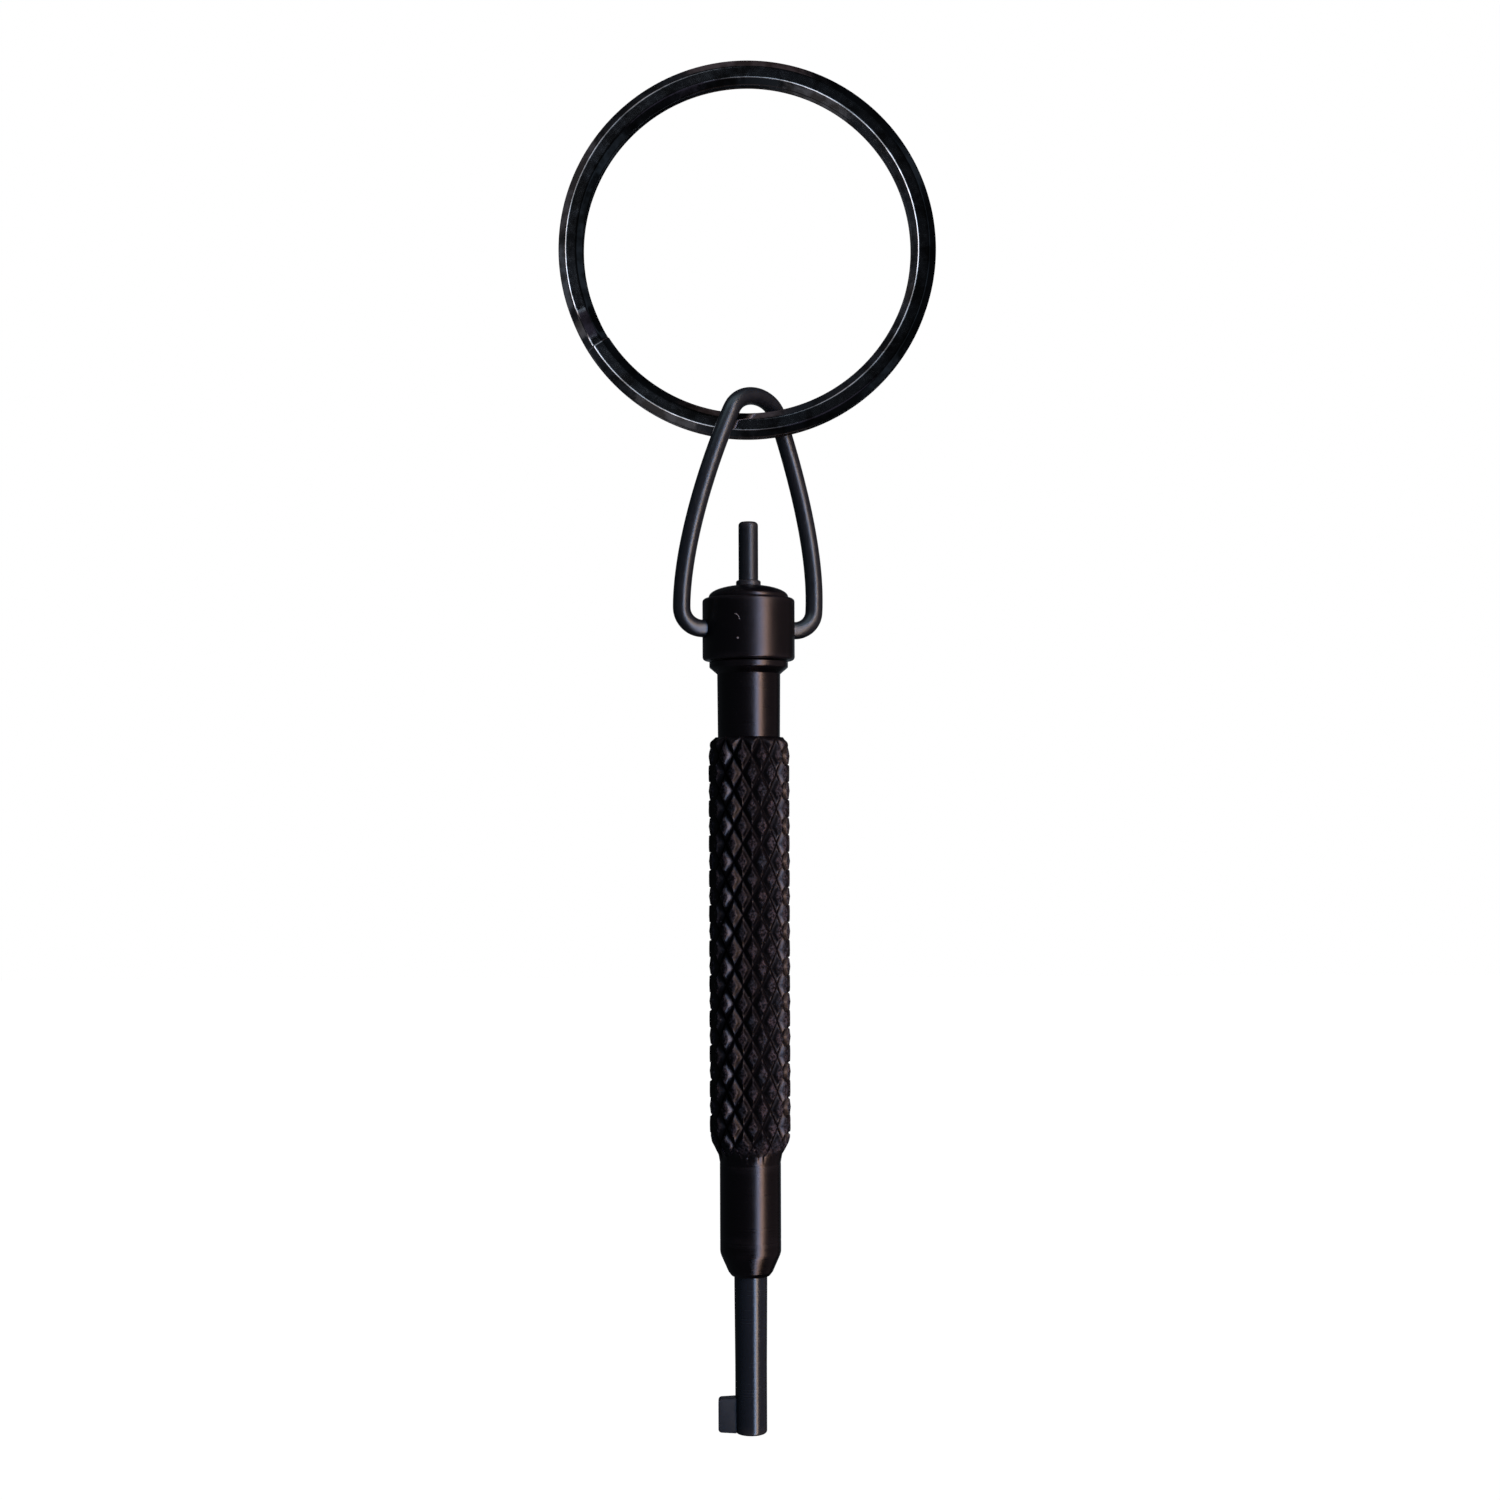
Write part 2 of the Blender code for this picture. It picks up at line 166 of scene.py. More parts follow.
# Lights: name, degrees round from the front and up, width and height in degrees as the key sees
# them, radiance and colour
LIGHT_AIM = Vector((0, 0, -0.075))
LIGHT_DISTANCE = 0.8
KEY_LIGHTS = (
    ("cool_softbox", 30.5, -7, 9, 108, 10.5, (0.52, 0.63, 1.0)),
    ("warm_softbox", 43, -7, 10, 108, 10.5, (1.0, 0.61, 0.44)),
    ("side_fill", 88, -5, 76, 90, 0.10, (1.0, 0.74, 0.78)),
)
BAIL_LIGHT = ("bail_top_light", -8, 68, 70, 34, 1.0, (0.72, 0.86, 1.0))
BACK_LIGHT = ("back_fill", 180, 0, 50, 100, 1.6, (0.92, 0.95, 1.0))
# The ring's lights stand in arcs round it: a turn, and a radiance. Each turn of the corners' arc
# has two, with their reach, width, share of that radiance, and colour.
RING_LIFT = 14.5
CORNER_ARC = ((118, 0.8), (138, 0.9), (158, 1.8), (178, 5.0), (198, 3.9), (218, 1.3), (240, 3.0),
              (260, 0.7))
CORNER_PAIR = ((25, 9, 0.75, (0.74, 0.90, 1.0)), (33, 7, 0.85, (1.0, 0.86, 0.78)))
CORNER_HEIGHT = 20
# The other ring lights: turn, reach, width, height, radiance and colour. First those of the
# bevels, then one for the jog, then two for the hole's wall.
RING_LIGHTS = (
    (95, 72, 22, 46, 0.11, (1.0, 0.72, 0.70)),
    (140, 72, 22, 46, 0.11, (1.0, 0.88, 0.88)),
    (188, 72, 22, 46, 0.13, (0.85, 0.92, 1.0)),
    (236, 72, 22, 46, 0.17, (1.0, 0.94, 0.92)),
    (272, 80, 22, 46, 0.13, (1.0, 0.62, 0.50)),
    (295, 34, 26, 26, 0.07, (0.80, 0.68, 1.0)),
    (-25, 51, 12, 46, 0.055, (0.62, 0.82, 1.0)),
    (20, 51, 12, 46, 0.055, (0.62, 0.82, 1.0)),
)

# What the world sends to the key: its colour, the glow behind the key and its direction, and how
# it goes from dim on the right to brighter on the left
WORLD_COLOUR = (0.76, 0.86, 1.0, 1.0)
GLOW_WAY, GLOW_START, GLOW_FULL, GLOW = (0.2, 0.98, 0.0), 0.88, 0.995, 0.25
SIDE_REACH, SIDE_DIM, SIDE_BRIGHT = 0.14, 0.010, 0.038
FLOOR_HALF, FLOOR_Z = 3.0, -0.30


# ---------------------------------------------------------------- meshes

def fillet(corners, steps=6):
    """An outline of (across, height, radius) corners, each with a radius turned into an arc."""
    points = []
    last = len(corners) - 1
    for index, (across, height, radius) in enumerate(corners):
        here = Vector((across, height))
        if radius == 0 or index in (0, last):
            points.append(here)
            continue
        back = (Vector(corners[index - 1][:2]) - here).normalized()
        ahead = (Vector(corners[index + 1][:2]) - here).normalized()
        half = back.angle(ahead) / 2
        centre = here + (back + ahead).normalized() * radius / math.sin(half)
        reach = radius / math.tan(half)
        start = here + back * reach - centre
        end = here + ahead * reach - centre
        turn = start.angle_signed(end)
        for step in range(steps + 1):
            spin = Matrix.Rotation(-turn * step / steps, 2)
            points.append(centre + spin @ start)
    return points


def divided(points, longest):
    """The same outline with long straight parts cut to steps no longer than that."""
    out = [points[0]]
    for here, there in zip(points, points[1:]):
        count = max(1, math.ceil((there - here).length / longest))
        out += [here.lerp(there, step / count) for step in range(1, count + 1)]
    return out


def edge_wear(outline):
    """How sharply a convex outline turns at each point, 0 to 1."""
    wear = [0.0] * len(outline)
    for i in range(1, len(outline) - 1):
        before = outline[i] - outline[i - 1]
        after = outline[i + 1] - outline[i]
        if before.length < 1e-9 or after.length < 1e-9:
            continue
        turn = before.angle_signed(after)
        wear[i] = min(max(turn / math.radians(12), 0.0), 1.0)
    return wear


def band(above, below):
    """The faces between two rings of point numbers, of which one may be a single point."""
    faces = []
    count = max(len(above), len(below))
    for k in range(count):
        after = (k + 1) % count
        if len(above) == 1:
            faces.append((above[0], below[k], below[after]))
        elif len(below) == 1:
            faces.append((above[k], below[0], above[after]))
        else:
            faces.append((above[k], below[k], below[after], above[after]))
    return faces


def finish_mesh(name, points, faces, material, sharp=None):
    """A smooth piece, with its edges sharp from that angle in degrees."""
    mesh = bpy.data.meshes.new(name)
    mesh.from_pydata([tuple(p) for p in points], [], faces)
    mesh.update()
    mesh.shade_smooth()
    if sharp is not None:
        mesh.set_sharp_from_angle(angle=math.radians(sharp))
    mesh.materials.append(material)
    piece = bpy.data.objects.new(name, mesh)
    bpy.context.scene.collection.objects.link(piece)
    return piece


def point_attribute(piece, name, values):
    """Numbers, one for each point, that a finish reads by name."""
    made = piece.data.attributes.new(name, "FLOAT", "POINT")
    made.data.foreach_set("value", np.asarray(values, dtype=np.float32))


def turned(name, outline, material, steps=128, closed=False, sharp=30):
    """A solid turned about Z from an outline that runs down its outer side."""
    points, faces, rings, wear = [], [], [], []
    worn = edge_wear(outline)
    for (across, height), share in zip(outline, worn):
        if across < 1e-7:
            rings.append([len(points)])
            points.append((0, 0, height))
            wear.append(share)
            continue
        rings.append(list(range(len(points), len(points) + steps)))
        for k in range(steps):
            angle = 2 * math.pi * k / steps
            points.append((across * math.cos(angle), across * math.sin(angle), height))
            wear.append(share)
    pairs = list(zip(rings, rings[1:]))
    if closed:
        pairs.append((rings[-1], rings[0]))
    for above, below in pairs:
        faces += band(above, below)
    piece = finish_mesh(name, points, faces, material, sharp)
    point_attribute(piece, "wear", wear)
    return piece


def swept(name, stations, section, material, sharp=None):
    """A tube through stations of (centre, right, up, scale), its section given as (right, up)."""
    points, faces = [], []
    count = len(section)
    for centre, right, up, scale in stations:
        for across, depth in section:
            points.append(centre + right * across * scale + up * depth * scale)
    for row in range(len(stations) - 1):
        for k in range(count):
            after = (k + 1) % count
            low, high = row * count, (row + 1) * count
            faces.append((low + k, low + after, high + after, high + k))
    for row, order in ((0, -1), (len(stations) - 1, 1)):
        rim = [row * count + k for k in range(count)]
        middle = len(points)
        points.append(stations[row][0])
        for k in range(count):
            ends = (rim[k], rim[(k + 1) % count])[::order]
            faces.append((*ends, middle))
    return finish_mesh(name, points, faces, material, sharp)


def applied(piece):
    """The piece with its modifiers worked into its mesh."""
    bpy.context.view_layer.update()
    evaluated = piece.evaluated_get(bpy.context.evaluated_depsgraph_get())
    mesh = bpy.data.meshes.new_from_object(evaluated)
    piece.modifiers.clear()
    piece.data = mesh
    return piece


def cut_with(piece, cutter):
    """Take the cutter's shape out of the piece, and delete the cutter."""
    step = piece.modifiers.new("Cut", "BOOLEAN")
    step.operation = "DIFFERENCE"
    step.solver = "EXACT"
    step.object = cutter
    applied(piece)
    bpy.data.objects.remove(cutter, do_unlink=True)


def cylinder(radius, depth, matrix, steps):
    """A round cutter about its matrix's Z axis."""
    mesh = bpy.data.meshes.new("cutter")
    shape = bmesh.new()
    bmesh.ops.create_cone(
        shape, cap_ends=True, segments=steps, radius1=radius, radius2=radius, depth=depth,
        matrix=matrix,
    )
    shape.to_mesh(mesh)
    shape.free()
    made = bpy.data.objects.new("cutter", mesh)
    bpy.context.scene.collection.objects.link(made)
    return made


def smoothstep(t):
    """A smooth step from 0 to 1 as t goes from 0 to 1."""
    t = min(max(t, 0.0), 1.0)
    return t * t * (3 - 2 * t)


# ---------------------------------------------------------------- materials

def node(tree, kind, inputs=None, **settings):
    """A new node. Its inputs are values, or the sockets that they come from."""
    made = tree.nodes.new(kind)
    for key, value in settings.items():
        setattr(made, key, value)
    for key, value in (inputs or {}).items():
        socket = made.inputs[key]
        if isinstance(value, bpy.types.NodeSocket):
            tree.links.new(value, socket)
        else:
            socket.default_value = value
    return made


class Finish:
    """A material under construction: one Principled shader and its procedural inputs."""

    def __init__(self, name, **fixed):
        self.material = bpy.data.materials.new(name)
        self.material.use_nodes = True
        self.tree = self.material.node_tree
        self.shader = self.tree.nodes["Principled BSDF"]
        for key, value in fixed.items():
            self.shader.inputs[key.replace("_", " ")].default_value = value
        place = node(self.tree, "ShaderNodeTexCoord")
        self.place = place.outputs["Object"]
        parts = node(self.tree, "ShaderNodeSeparateXYZ", {"Vector": self.place})
        self.height = parts.outputs["Z"]

    def stretch(self, x, y, z):
        """The place in the piece, scaled by three numbers."""
        scaled = node(self.tree, "ShaderNodeMapping", {"Vector": self.place, "Scale": (x, y, z)})
        return scaled.outputs["Vector"]

    def noise(self, scale, detail, roughness, vector=None):
        """Noise with features about 1/scale metres across."""
        made = node(self.tree, "ShaderNodeTexNoise", {
            "Vector": vector or self.place, "Scale": scale, "Detail": detail,
            "Roughness": roughness,
        })
        return made.outputs["Fac"]

    def lines(self, scale, detail):
        """Noise that changes only along Z, as a cutting tool leaves on a turned piece."""
        along = self.math("MULTIPLY", self.height, scale)
        made = node(self.tree, "ShaderNodeTexNoise", {"W": along, "Scale": 1.0, "Detail": detail},
                    noise_dimensions="1D")
        return made.outputs["Fac"]

    def math(self, operation, first, second=0.0):
        """One sum on sockets or numbers."""
        made = node(self.tree, "ShaderNodeMath", {0: first, 1: second}, operation=operation)
        return made.outputs["Value"]

    def remap(self, value, low, high, to_low, to_high):
        """The value, taken from one range to another and kept inside it."""
        made = node(self.tree, "ShaderNodeMapRange", {
            "Value": value, "From Min": low, "From Max": high, "To Min": to_low,
            "To Max": to_high,
        })
        return made.outputs["Result"]

    def mix(self, share, first, second):
        """A colour between two, each a colour or a socket."""
        made = node(self.tree, "ShaderNodeMix", data_type="RGBA")
        self.tree.links.new(share, made.inputs["Factor"])
        for socket, value in ((made.inputs[6], first), (made.inputs[7], second)):
            if isinstance(value, bpy.types.NodeSocket):
                self.tree.links.new(value, socket)
            else:
                socket.default_value = (*value, 1.0)
        return made.outputs[2]

    def attribute(self, name):
        """The numbers that point_attribute gave the piece."""
        made = node(self.tree, "ShaderNodeAttribute", attribute_name=name)
        return made.outputs["Fac"]

    def bump(self, height, distance, before=None, strength=1.0):
        """Relief, on top of any relief before it."""
        inputs = {"Height": height, "Distance": distance, "Strength": strength}
        if before is not None:
            inputs["Normal"] = before
        return node(self.tree, "ShaderNodeBump", inputs).outputs["Normal"]

    def set(self, **sockets):
        """Link the shader's inputs, and give the finished material."""
        for key, socket in sockets.items():
            self.tree.links.new(socket, self.shader.inputs[key.replace("_", " ")])
        return self.material


def scratch(made, across, height, radius, start, end, width):
    """1 on an arc on the front of a piece, 0 elsewhere. Its angles are in degrees from +X."""
    parts = node(made.tree, "ShaderNodeSeparateXYZ", {"Vector": made.place})
    right = made.math("SUBTRACT", parts.outputs["X"], across)
    up = made.math("SUBTRACT", parts.outputs["Z"], height)
    squares = made.math("ADD", made.math("MULTIPLY", right, right),
                        made.math("MULTIPLY", up, up))
    off = made.math("ABSOLUTE", made.math("SUBTRACT", made.math("SQRT", squares), radius))
    mask = made.remap(off, width * 0.4, width, 1.0, 0.0)
    angle = made.math("ARCTAN2", up, right)
    mask = made.math("MULTIPLY", mask, made.math("GREATER_THAN", angle, math.radians(start)))
    mask = made.math("MULTIPLY", mask, made.math("LESS_THAN", angle, math.radians(end)))
    front = made.math("LESS_THAN", parts.outputs["Y"], 0.0)
    return made.math("MULTIPLY", mask, front)


def anodised_finish(name, smooth, dull, marks=()):
    """Satin black anodised aluminium with a purple-brown cast and fine turning lines."""
    made = Finish(name, Metallic=0.0, IOR=1.5)
    turning = made.lines(5600, 3.0)
    broad = made.lines(900, 2.0)
    smudge = made.noise(420, 4.0, 0.6)
    grain = made.noise(9000, 2.0, 0.6)
    specks = made.remap(made.noise(5200, 1.0, 0.4), 0.73, 0.79, 0.0, 1.0)
    tint = made.mix(smudge, *BLACK_PURPLE)
    worn = made.math("MULTIPLY", made.attribute("wear"), made.remap(smudge, 0.35, 0.7, 0.1, 0.6))
    colour = made.mix(worn, tint, (0.02, 0.018, 0.02))
    colour = made.mix(made.math("MULTIPLY", specks, 0.4), colour, (0.03, 0.029, 0.03))
    for mark in marks:
        colour = made.mix(scratch(made, *mark), colour, MARK_COLOUR)
    rough = made.remap(made.math("ADD", turning, smudge), 0.6, 1.4, smooth, dull)
    ridges = made.math("ADD", turning, made.math("MULTIPLY", broad, 0.6))
    normal = made.bump(ridges, 0.0034 * MM)
    normal = made.bump(grain, 0.0012 * MM, normal)
    return made.set(Base_Color=colour, Roughness=rough, Normal=normal)


def knurl_finish():
    """The same anodising over a cut knurl: rough mottled tops, glossier walls, dull grooves.

    The specular level varies with them, so it is linked.
    """
    made = Finish("knurled_black_anodised", Metallic=0.0, IOR=1.5)
    top = made.attribute("top")
    groove = made.attribute("groove")
    smudge = made.noise(420, 4.0, 0.6)
    patch = made.noise(900, 2.0, 0.5)
    grain = made.noise(3900, 3.0, 0.7)
    tint = made.mix(smudge, *BLACK_PURPLE)
    tops = made.mix(made.remap(patch, 0.35, 0.65, 0.0, 1.0), (0.035, 0.043, 0.054),
                    (0.084, 0.067, 0.073))
    spread = made.remap(grain, 0.43, 0.59, 0.0, 1.0)
    mottle = made.mix(spread, (0.002, 0.0018, 0.0024), tops)
    colour = made.mix(top, tint, mottle)
    specks = made.remap(made.noise(3600, 1.0, 0.4), 0.745, 0.78, 0.0, 1.0)
    colour = made.mix(made.math("MULTIPLY", specks, 0.8), colour, (0.09, 0.086, 0.08))
    base = made.remap(smudge, 0.3, 0.7, 0.29, 0.37)
    rough = made.math("ADD", base, made.math("MULTIPLY", top, 0.48))
    # Towards their bottoms the grooves are rougher and less specular, so they look darker
    rough = made.math("ADD", rough, made.math("MULTIPLY", groove, 0.5))
    gloss = made.math("SUBTRACT", 0.5, made.math("MULTIPLY", top, 0.33))
    gloss = made.math("SUBTRACT", gloss, made.math("MULTIPLY", groove, 0.5))
    relief = made.math("MULTIPLY", made.math("ADD", top, 0.1), grain)
    normal = made.bump(made.attribute("lean"), TOP_LEAN * MM, strength=top)
    normal = made.bump(relief, 0.035 * MM, normal)
    return made.set(Base_Color=colour, Roughness=rough, Specular_IOR_Level=gloss,
                    Normal=normal)


def ring_finish():
    """Glossy black nickel over drawn spring wire: a little wavy, with nicks."""
    made = Finish("black_nickel_plate", Metallic=1.0)
    wave = made.noise(300, 2.0, 0.5)
    orange = made.noise(1700, 3.0, 0.55)
    nicks = made.remap(made.noise(1900, 2.0, 0.5), 0.72, 0.77, 0.0, 1.0)
    tint = made.mix(made.noise(140, 2.0, 0.5), (0.30, 0.275, 0.285), (0.25, 0.29, 0.35))
    stain = made.remap(made.noise(520, 3.0, 0.6), 0.40, 0.56, 1.0, 0.0)
    tint = made.mix(stain, tint, (0.13, 0.125, 0.13))
    colour = made.mix(made.math("MULTIPLY", nicks, 0.6), tint, (0.6, 0.58, 0.56))
    rough = made.remap(orange, 0.3, 0.7, 0.09, 0.16)
    ripple = made.noise(1000, 2.0, 0.5)
    normal = made.bump(wave, 0.045 * MM)
    normal = made.bump(ripple, 0.012 * MM, normal)
    normal = made.bump(orange, 0.0015 * MM, normal)
    return made.set(Base_Color=colour, Roughness=rough, Normal=normal)


def wire_finish():
    """Blackened spring wire: satin, blue-grey, with faint marks along it."""
    made = Finish("blackened_wire", Metallic=0.0, IOR=1.68, Specular_Tint=(0.80, 0.97, 1.0, 1.0))
    patch = made.noise(500, 4.0, 0.6)
    grain = made.noise(5200, 3.0, 0.6)
    streak = made.noise(1.0, 3.0, 0.6, made.stretch(5200, 5200, 420))
    colour = made.mix(patch, (0.007, 0.0085, 0.0115), (0.014, 0.0155, 0.0185))
    scuffs = made.remap(made.noise(1600, 3.0, 0.6), 0.65, 0.72, 0.0, 1.0)
    colour = made.mix(made.math("MULTIPLY", scuffs, 0.3), colour, (0.045, 0.044, 0.042))
    rough = made.remap(made.math("ADD", streak, patch), 0.7, 1.3, 0.31, 0.42)
    normal = made.bump(streak, 0.003 * MM)
    normal = made.bump(grain, 0.004 * MM, normal)
    return made.set(Base_Color=colour, Roughness=rough, Normal=normal)


def steel_finish(name, dark, light, smooth, dull):
    """Blackened turned steel, between two colours and between two roughnesses."""
    made = Finish(name, Metallic=0.0, IOR=1.6, Specular_Tint=(0.80, 0.97, 1.0, 1.0))
    turning = made.lines(6400, 3.0)
    patch = made.noise(600, 4.0, 0.6)
    colour = made.mix(patch, dark, light)
    worn = made.math("MULTIPLY", made.attribute("wear"), 0.5)
    colour = made.mix(worn, colour, (0.05, 0.05, 0.05))
    rough = made.remap(made.math("ADD", turning, patch), 0.6, 1.4, smooth, dull)
    normal = made.bump(turning, 0.0007 * MM)
    normal = made.bump(made.noise(2600, 2.0, 0.5), 0.0003 * MM, normal)
    return made.set(Base_Color=colour, Roughness=rough, Normal=normal)


# ---------------------------------------------------------------- pieces

def ring_section():
    """Drawn flat wire: a flat face, long bevels and round corners, the same front and back."""
    half = (RING_OUTER - RING_HOLE) / 2
    turn = (RING_HIGH.y - RING_LOW.y - TURN_GAP) / 4
    corners = [
        (0.0, turn, 0),
        (-0.42 * half, turn, 0.5 * MM),
        (-half, 0.16 * turn, 0.16 * MM),
        (-half, -0.16 * turn, 0.16 * MM),
        (-0.42 * half, -turn, 0.5 * MM),
        (0.42 * half, -turn, 0.5 * MM),
        (half, -0.16 * turn, 0.16 * MM),
        (half, 0.16 * turn, 0.16 * MM),
        (0.42 * half, turn, 0.5 * MM),
        (0.0, turn, 0),
    ]
    outline = divided(fillet(corners, 8), 0.12 * MM)
    return [(p.x, p.y) for p in outline[:-1]]


def make_ring(material):
    """Two turns of flat wire, with the jog just before the seam where the front turn starts."""
    depth = (RING_HIGH.y - RING_LOW.y - TURN_GAP) / 2
    front = (depth + TURN_GAP) / 2
    radius = (RING_OUTER + RING_HOLE) / 2
    full = 2 * math.pi
    length = 2 * full - JOG_ANGLE
    forward = Vector((0, -1, 0))
    stations = []
    runs = [(reach * MM / radius, scale) for reach, scale in RING_ENDS]
    runs += [(length * step / RING_STATIONS, 1.0) for step in range(1, RING_STATIONS)]
    runs += [(length - reach * MM / radius, scale) for reach, scale in RING_ENDS[::-1]]
    for run, scale in runs:
        into_jog = run - (full - JOG_ANGLE + JOG_MARGIN)
        level = front * (1 - 2 * smoothstep(into_jog / (JOG_ANGLE - 2 * JOG_MARGIN)))
        angle = SEAM_ANGLE + run
        outward = Vector((math.cos(angle), 0, math.sin(angle)))
        centre = RING_CENTRE + outward * radius + forward * level
        stations.append((centre, outward, forward, scale))
    return swept("flat_wire_split_ring", stations, ring_section(), material, sharp=50)


def leg_points():
    """The centre line of the bail's +X leg as (across, height), from its stub to the crown."""
    ring_bottom_z = -2 * RING_HOLE
    crown_z = ring_bottom_z + CROWN_ABOVE_RING
    stub_end = (COLLAR_R - STUB_DEPTH) * math.cos(PIVOT_ANGLE)
    bend_start = SHOULDER_HALF_WIDTH - BEND_RADIUS
    path = [(stub_end, PIVOT_Z), ((stub_end + bend_start) / 2, PIVOT_Z)]
    for step in range(25):
        angle = math.radians(90 * step / 24)
        across = bend_start + BEND_RADIUS * math.sin(angle)
        path.append((across, PIVOT_Z + BEND_RADIUS * (1 - math.cos(angle))))
    shoulder = Vector((SHOULDER_HALF_WIDTH, PIVOT_Z + SHOULDER_RISE))
    flare_x = CROWN_RADIUS * math.cos(FLARE_ANGLE)
    flare_z = crown_z - CROWN_RADIUS * (1 - math.sin(FLARE_ANGLE))
    flare = Vector((flare_x, flare_z))
    rise = Vector((0, LEG_PULL_LOW))
    slope = Vector((math.sin(FLARE_ANGLE), -math.cos(FLARE_ANGLE))) * LEG_PULL_HIGH
    leg = interpolate_bezier(shoulder, shoulder + rise, flare + slope, flare, 60)
    path += [(point.x, point.y) for point in leg]
    sweep = math.pi / 2 - FLARE_ANGLE
    for step in range(1, 21):
        angle = FLARE_ANGLE + sweep * step / 20
        across = CROWN_RADIUS * math.cos(angle)
        path.append((across, crown_z - CROWN_RADIUS * (1 - math.sin(angle))))
    return path


def make_bail(material):
    """One bent wire, twisted so that one leg passes in front of the ring and one behind."""
    ring_bottom_z = -2 * RING_HOLE
    leg = []
    for across, height in leg_points():
        rise = (height - PIVOT_Z) / (ring_bottom_z - PIVOT_Z)
        angle = PIVOT_ANGLE + (CROWN_ANGLE - PIVOT_ANGLE) * min(max(rise, 0.0), 1.0)
        leg.append(Vector((across, across * math.tan(angle), height)))
    line = leg + [Vector((-p.x, -p.y, p.z)) for p in reversed(leg[:-1])]
    for point in line:
        lean = max(point.z - PIVOT_Z - BEND_RADIUS, 0.0) / (ring_bottom_z - PIVOT_Z)
        point.x += CROWN_SHIFT * lean
    for _ in range(6):
        line = [line[0]] + [
            (a + b * 2 + c) / 4 for a, b, c in zip(line, line[1:], line[2:])
        ] + [line[-1]]
    stations = []
    side = Vector((0, 0, 1))
    for i, point in enumerate(line):
        ahead = line[min(i + 1, len(line) - 1)] - line[max(i - 1, 0)]
        ahead.normalize()
        side = (side - ahead * side.dot(ahead)).normalized()
        stations.append((point, side, ahead.cross(side), 1.0))
    steps = 32
    section = [(WIRE_R * math.cos(2 * math.pi * k / steps),
                WIRE_R * math.sin(2 * math.pi * k / steps)) for k in range(steps)]
    return swept("bent_wire_bail", stations, section, material, sharp=50)


def make_collar(material):
    """The plain sleeve, cross-drilled for the bail's ends."""
    bore = STUD_HIGH.x + RUNNING_GAP
    top, bottom = COLLAR_HIGH.z, COLLAR_LOW.z
    corners = [
        (bore, top - 0.3 * MM, 0),
        (bore + 0.2 * MM, top, 0.05 * MM),
        (COLLAR_R, top, 0.38 * MM),
        (COLLAR_R, bottom, 0.38 * MM),
        (bore + 0.2 * MM, bottom, 0.05 * MM),
        (bore, bottom + 0.3 * MM, 0),
    ]
    outline = divided(fillet(corners, 8), 0.4 * MM)
    collar = turned("cross_drilled_collar", outline, material, steps=160, closed=True)
    lie = Matrix.Translation((0, 0, PIVOT_Z)) @ Matrix.Rotation(PIVOT_ANGLE, 4, "Z")
    lie = lie @ Matrix.Rotation(math.pi / 2, 4, "Y")
    cut_with(collar, cylinder(WIRE_R + 0.06 * MM, 4 * COLLAR_R, lie, 48))
    collar.data.set_sharp_from_angle(angle=math.radians(30))
    return collar


def make_cap(material):
    """The low dome over the collar, with a small rim."""
    outer = CAP_HIGH.x
    bottom = CAP_LOW.z
    foot = bottom + 0.1 * MM
    rise = CAP_HIGH.z - bottom
    hole = PIN_HIGH.x + SEAT_GAP
    points = [Vector((hole, CAP_HIGH.z))]
    for step in range(1, 25):
        angle = math.radians(15 + 75 * step / 24)
        points.append(Vector((outer * math.sin(angle), foot + rise * math.cos(angle))))
    points += [Vector((outer, bottom)), Vector((hole, bottom))]
    return turned("domed_retaining_cap", points, material, steps=128, closed=True)


def make_bead(material):
    """The shoulder ring round the pin's foot."""
    inner = PIN_HIGH.x + SEAT_GAP
    corners = [
        (inner, BEAD_TOP_Z, 0),
        (BEAD_HIGH.x, BEAD_TOP_Z, 0.2 * MM),
        (BEAD_HIGH.x, BEAD_LOW.z, 0),
        (inner, BEAD_LOW.z, 0),
    ]
    return turned("pin_shoulder_ring", fillet(corners), material, steps=72, closed=True)


def make_pin(material):
    """The round double-lock pin with its softened tip."""
    corners = [
        (0, PIN_TOP_Z, 0),
        (PIN_R, PIN_TOP_Z, 0.38 * MM),
        (PIN_R, PIN_LOW.z, 0),
        (0, PIN_LOW.z, 0),
    ]
    outline = divided(fillet(corners), 0.5 * MM)
    return turned("double_lock_push_pin", outline, material, steps=72)


def groove_offsets(angle, height):
    """How far a point is from the middle of the nearest groove of each hand, in cells."""
    column = (angle - KNURL_PHASE) * KNURL_COLUMNS / (2 * math.pi)
    row = (height - KNURL_DATUM_Z) / KNURL_HALF_PITCH
    right, left = (column + row) / 2 + 0.5, (column - row) / 2 + 0.5
    return right - round(right), left - round(left)


def graded(angle, height, share):
    """The point moved towards its grooves, so that more points lie where the shape turns."""
    moves = []
    for offset in groove_offsets(angle, height):
        target = math.copysign(0.5 * (2 * abs(offset)) ** GRADING, offset)
        moves.append((target - offset) * share)
    angle += (moves[0] + moves[1]) * 2 * math.pi / KNURL_COLUMNS
    height += (moves[0] - moves[1]) * KNURL_HALF_PITCH
    return angle, height


def groove_wall(angle, height):
    """The height of the grooves' walls over their bottoms, and the distance to a bottom."""
    pitch = 2 * COLUMN_WIDTH
    lead = 2 * KNURL_HALF_PITCH
    spacing = pitch * lead / math.hypot(pitch, lead)
    away = min(abs(offset) for offset in groove_offsets(angle, height)) * spacing
    return WALL_SLOPE * (math.hypot(away, GROOVE_ROUND) - GROOVE_ROUND), away


